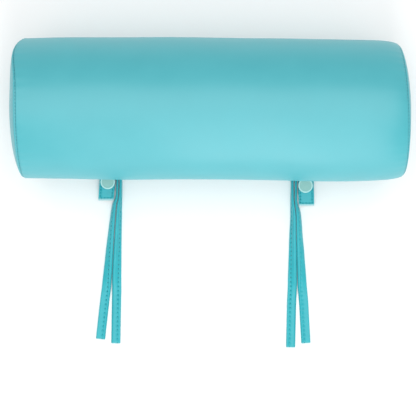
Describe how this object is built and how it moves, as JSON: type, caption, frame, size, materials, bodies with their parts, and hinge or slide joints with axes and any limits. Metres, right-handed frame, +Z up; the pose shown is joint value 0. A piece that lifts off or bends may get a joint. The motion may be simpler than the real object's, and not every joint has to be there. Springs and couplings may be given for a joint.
{
  "type": "bolster pillow",
  "caption": "Round vinyl bolster pillow with crowned ends, a zip in its back seam, and snap tabs and tie straps in its front seam.",
  "frame": {"origin": "centre of the flat underside that the pillow rests on", "axes": "+X along the pillow, -Y towards the tabs and ties, +Z up"},
  "size_m": [0.423, 0.3322, 0.148],
  "materials": {
    "vinyl": "satin",
    "strap_vinyl": "satin",
    "foam": "matte",
    "wadding": "matte",
    "zip_tape": "matte",
    "zip_coil": "satin",
    "zip_metal": "satin",
    "snap_plastic": "satin"
  },
  "bodies": {
    "cushion": {"foam_core": "foam", "wadding_wrap": "wadding", "cover_top_panel": "vinyl", "cover_base_panel": "vinyl", "left_end_panel": "vinyl", "right_end_panel": "vinyl", "zip_tape_upper": "zip_tape", "zip_tape_lower": "zip_tape", "zip_coil_upper": "zip_coil", "zip_coil_lower": "zip_coil", "zip_top_stop_upper": "zip_metal", "zip_top_stop_lower": "zip_metal", "zip_bottom_stop": "zip_metal"},
    "left_anchor": {"left_anchor_tab": "strap_vinyl", "left_snap_stud": "snap_plastic", "left_snap_back_cap": "snap_plastic"},
    "left_tab": {"left_snap_tab": "strap_vinyl", "left_snap_cap": "snap_plastic", "left_snap_socket": "snap_plastic"},
    "left_outer_strap": {"left_outer_tie": "strap_vinyl"},
    "left_inner_strap": {"left_inner_tie": "strap_vinyl"},
    "right_anchor": {"right_anchor_tab": "strap_vinyl", "right_snap_stud": "snap_plastic", "right_snap_back_cap": "snap_plastic"},
    "right_tab": {"right_snap_tab": "strap_vinyl", "right_snap_cap": "snap_plastic", "right_snap_socket": "snap_plastic"},
    "right_outer_strap": {"right_outer_tie": "strap_vinyl"},
    "right_inner_strap": {"right_inner_tie": "strap_vinyl"},
    "slider": {"zip_slider": "zip_metal"},
    "pull": {"zip_pull": "zip_metal"}
  },
  "joints": [
    {"name": "left_anchor_lift", "type": "hinge", "parent": "cushion", "child": "left_anchor", "pos_m": [-0.1114, -0.04761, 0.01467], "axis": [-1, 0, 0], "range_deg": [0, 18]},
    {"name": "left_snap_open", "type": "hinge", "parent": "left_anchor", "child": "left_tab", "pos_m": [-0.1114, -0.04761, 0.01467], "axis": [-1, 0, 0], "range_deg": [0, 22]},
    {"name": "left_outer_tie_lift", "type": "hinge", "parent": "cushion", "child": "left_outer_strap", "pos_m": [-0.1018, -0.047, 0.01387], "axis": [-1, 0, 0], "range_deg": [0, 35]},
    {"name": "left_inner_tie_lift", "type": "hinge", "parent": "cushion", "child": "left_inner_strap", "pos_m": [-0.097, -0.047, 0.01387], "axis": [-1, 0, 0], "range_deg": [0, 35]},
    {"name": "right_anchor_lift", "type": "hinge", "parent": "cushion", "child": "right_anchor", "pos_m": [0.1048, -0.04761, 0.01467], "axis": [-1, 0, 0], "range_deg": [0, 18]},
    {"name": "right_snap_open", "type": "hinge", "parent": "right_anchor", "child": "right_tab", "pos_m": [0.1048, -0.04761, 0.01467], "axis": [-1, 0, 0], "range_deg": [0, 22]},
    {"name": "right_outer_tie_lift", "type": "hinge", "parent": "cushion", "child": "right_outer_strap", "pos_m": [0.0952, -0.047, 0.01387], "axis": [-1, 0, 0], "range_deg": [0, 35]},
    {"name": "right_inner_tie_lift", "type": "hinge", "parent": "cushion", "child": "right_inner_strap", "pos_m": [0.0904, -0.047, 0.01387], "axis": [-1, 0, 0], "range_deg": [0, 35]},
    {"name": "zip_slide", "type": "slide", "parent": "cushion", "child": "slider", "axis": [1, 0, 0], "range_m": [0, 0.296]},
    {"name": "zip_pull_turn", "type": "hinge", "parent": "slider", "child": "pull", "pos_m": [-0.148, 0.05898, 0.02351], "axis": [0, 0.6428, 0.766], "range_deg": [0, 175]}
  ]
}
